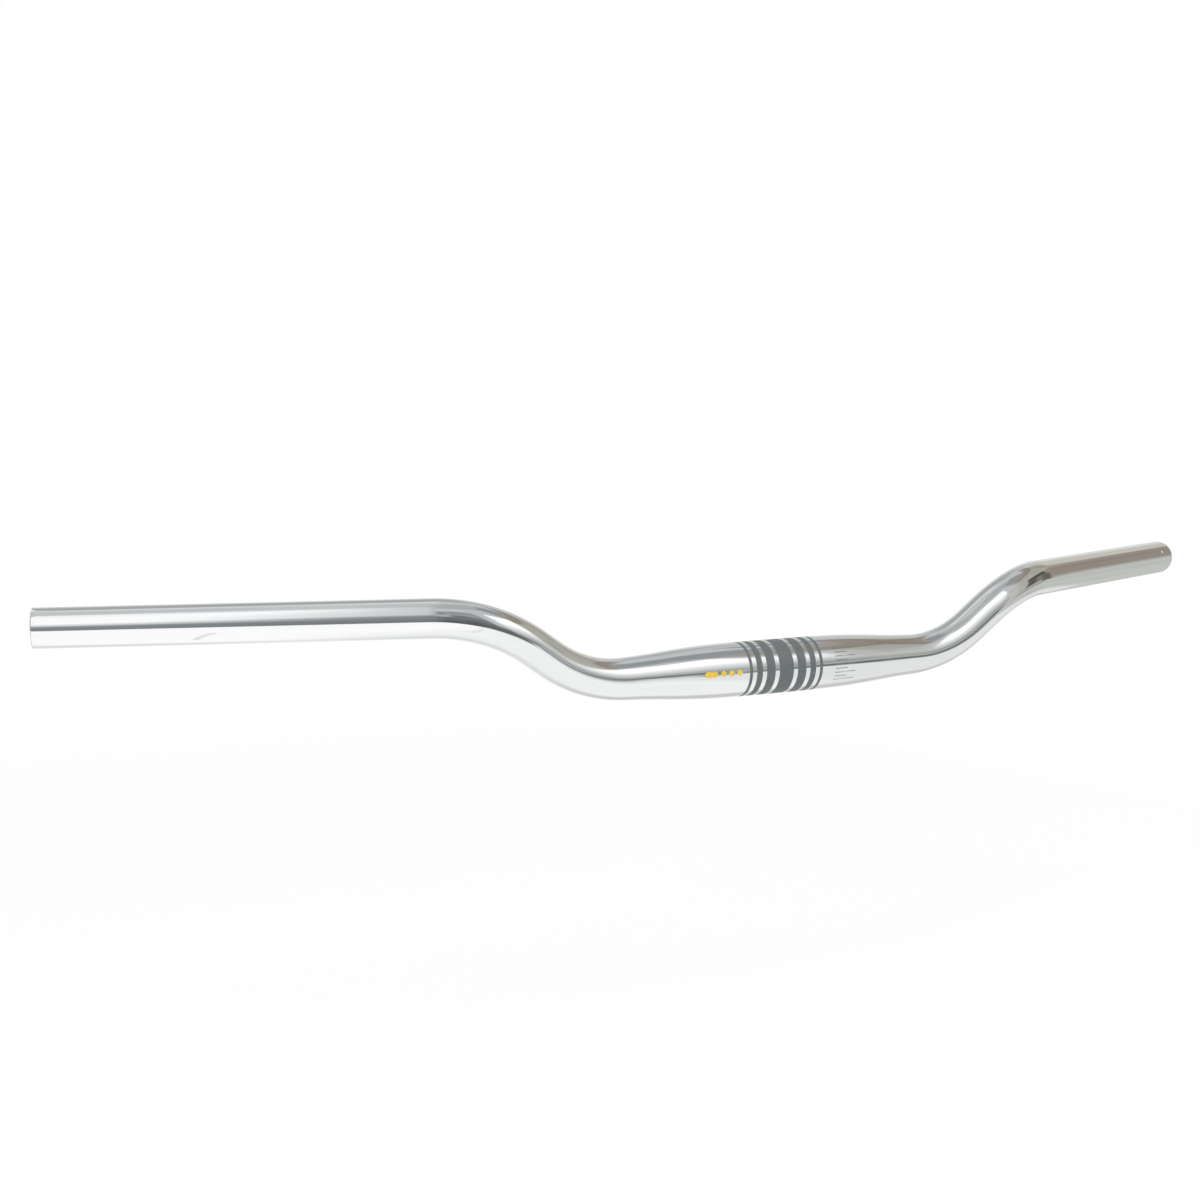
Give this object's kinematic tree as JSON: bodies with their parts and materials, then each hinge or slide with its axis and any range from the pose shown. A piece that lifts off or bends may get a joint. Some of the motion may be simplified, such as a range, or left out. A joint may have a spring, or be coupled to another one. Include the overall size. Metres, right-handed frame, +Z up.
{
  "type": "bicycle handlebar",
  "caption": "Riser handlebar: a bent aluminium tube, thick in the middle for a stem clamp and swaged thinner, with raised, swept-back straight ends for grips and levers.",
  "frame": {"origin": "centre of the stem clamp, on the tube's axis", "axes": "+X along the clamp to the rider's left, +Y back to the rider, +Z up"},
  "size_m": [0.8288, 0.1296, 0.0673],
  "materials": {
    "tube": "polished"
  },
  "bodies": {
    "root": {"handlebar": "tube"}
  },
  "joints": []
}
